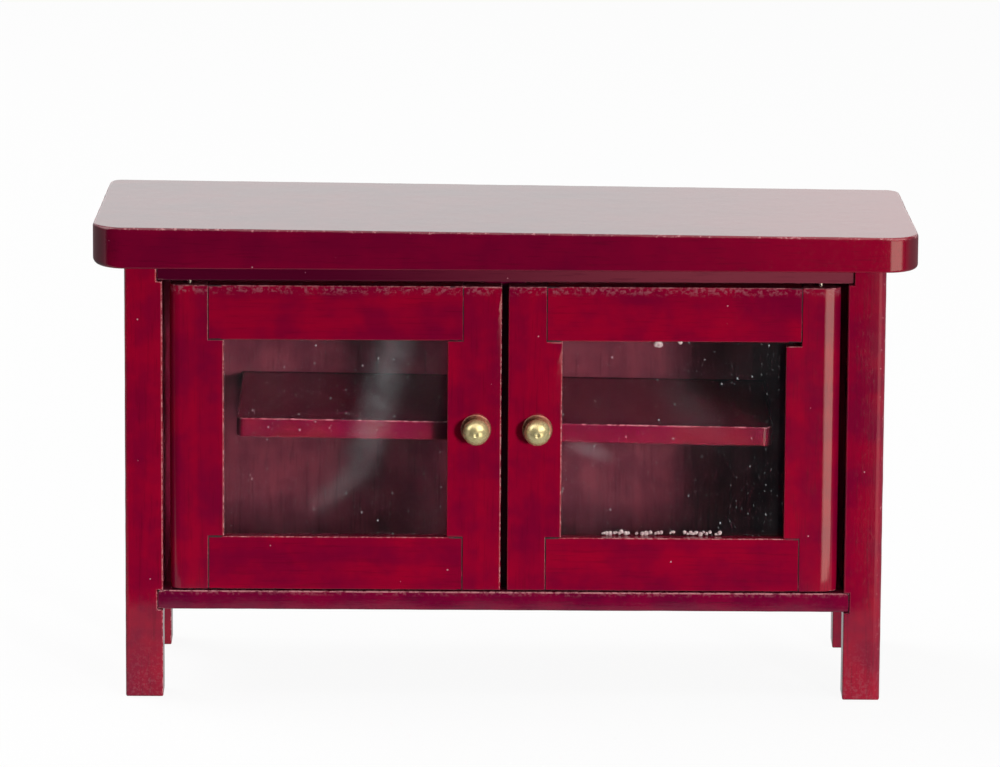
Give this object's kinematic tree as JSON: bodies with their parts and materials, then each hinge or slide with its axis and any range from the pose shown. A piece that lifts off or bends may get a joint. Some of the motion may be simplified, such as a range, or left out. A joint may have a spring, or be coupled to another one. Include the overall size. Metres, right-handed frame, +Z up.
{
  "type": "miniature bookcase",
  "caption": "Low dolls' house bookcase with glazed doors on wire pivots, ball knobs, an inner shelf, square legs and a round-cornered top.",
  "frame": {"origin": "on the floor, under the middle of the box that holds the cabinet and its knobs", "axes": "+X to the right as seen from the front, +Y to the back, +Z up; the doors face -Y"},
  "size_m": [0.116, 0.0389, 0.0681],
  "materials": {
    "stained_wood": "mahogany red stain under gloss varnish, darker in the joints",
    "top_wood": "mahogany red stain under gloss varnish, grain along the length",
    "inner_wood": "thin matt red-brown stain, upright grain",
    "glass": "clear and lightly dusty",
    "brass": "polished, a little tarnished at the foot",
    "pivot_wire": "plain drawn wire"
  },
  "bodies": {
    "carcass": {"top_board": "top_wood", "front_rail": "stained_wood", "bottom_board": "stained_wood", "back_panel": "inner_wood", "shelf": "stained_wood", "door_stop": "stained_wood", "left_front_leg": "stained_wood", "right_front_leg": "stained_wood", "left_back_leg": "stained_wood", "right_back_leg": "stained_wood", "left_side_panel": "stained_wood", "right_side_panel": "stained_wood"},
    "left_door": {"left_hinge_stile": "stained_wood", "left_lock_stile": "stained_wood", "left_top_rail": "stained_wood", "left_bottom_rail": "stained_wood", "left_glass": "glass", "left_knob": "brass", "left_upper_pin": "pivot_wire", "left_lower_pin": "pivot_wire"},
    "right_door": {"right_hinge_stile": "stained_wood", "right_lock_stile": "stained_wood", "right_top_rail": "stained_wood", "right_bottom_rail": "stained_wood", "right_glass": "glass", "right_knob": "brass", "right_upper_pin": "pivot_wire", "right_lower_pin": "pivot_wire"}
  },
  "joints": [
    {"name": "left_door_hinge", "type": "hinge", "parent": "carcass", "child": "left_door", "pos_m": [-0.0444, -0.01359, 0.0375], "axis": [0, 0, -1], "range_deg": [0, 110]},
    {"name": "right_door_hinge", "type": "hinge", "parent": "carcass", "child": "right_door", "pos_m": [0.0444, -0.01359, 0.0375], "axis": [0, 0, 1], "range_deg": [0, 110]}
  ]
}
